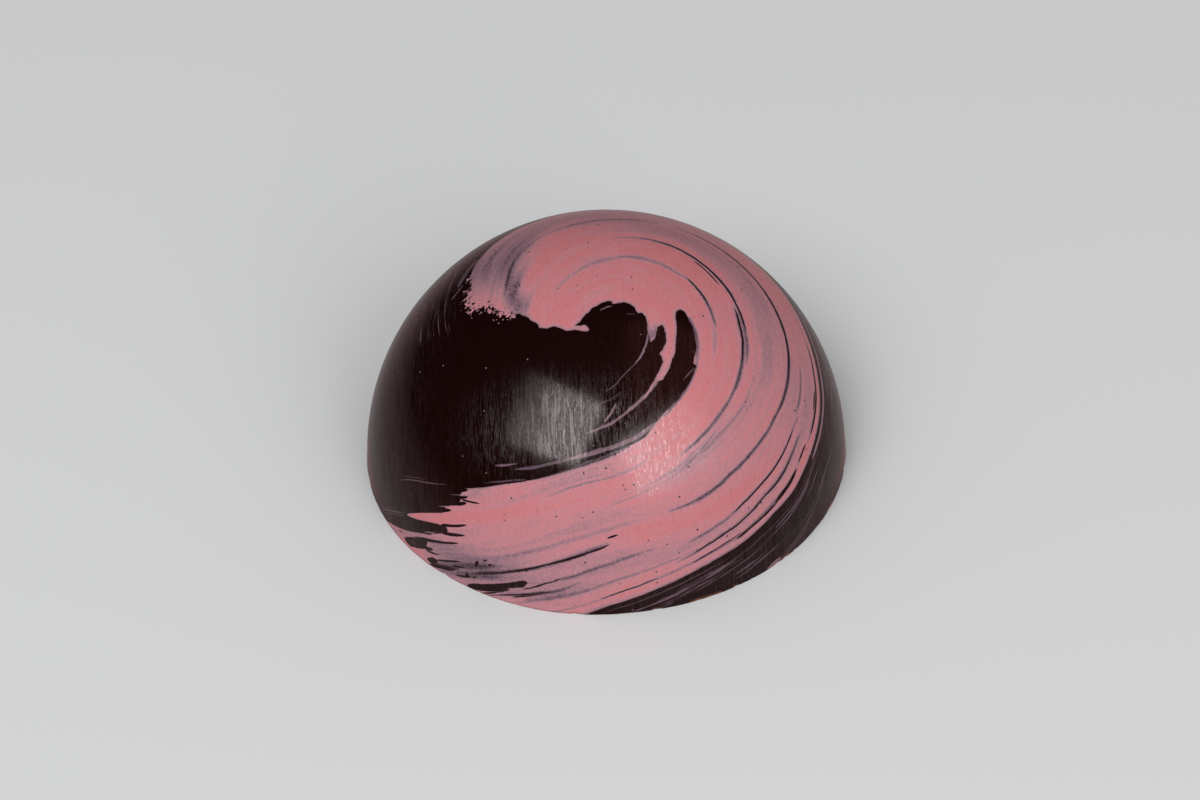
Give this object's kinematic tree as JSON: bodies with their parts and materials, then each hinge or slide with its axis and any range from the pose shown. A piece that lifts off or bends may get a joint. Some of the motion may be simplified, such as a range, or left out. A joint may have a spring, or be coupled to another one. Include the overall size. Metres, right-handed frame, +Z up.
{
  "type": "chocolate bonbon",
  "caption": "Moulded half-sphere chocolate bonbon with a flat base and a brushed spiral of coloured cocoa butter over its glossy dark dome.",
  "frame": {"origin": "middle of the flat base, where the bonbon rests", "axes": "+Z up through the crown of the dome; -Y towards the side where the pink stroke crosses the front"},
  "size_m": [0.03, 0.03, 0.015],
  "materials": {
    "chocolate": "Dark chocolate released from a polished mould: hard, glossy and near-black brown, with one wide brush stroke of pink coloured cocoa butter lying flush in the surface."
  },
  "bodies": {
    "root": {"bonbon": "chocolate"}
  },
  "joints": []
}
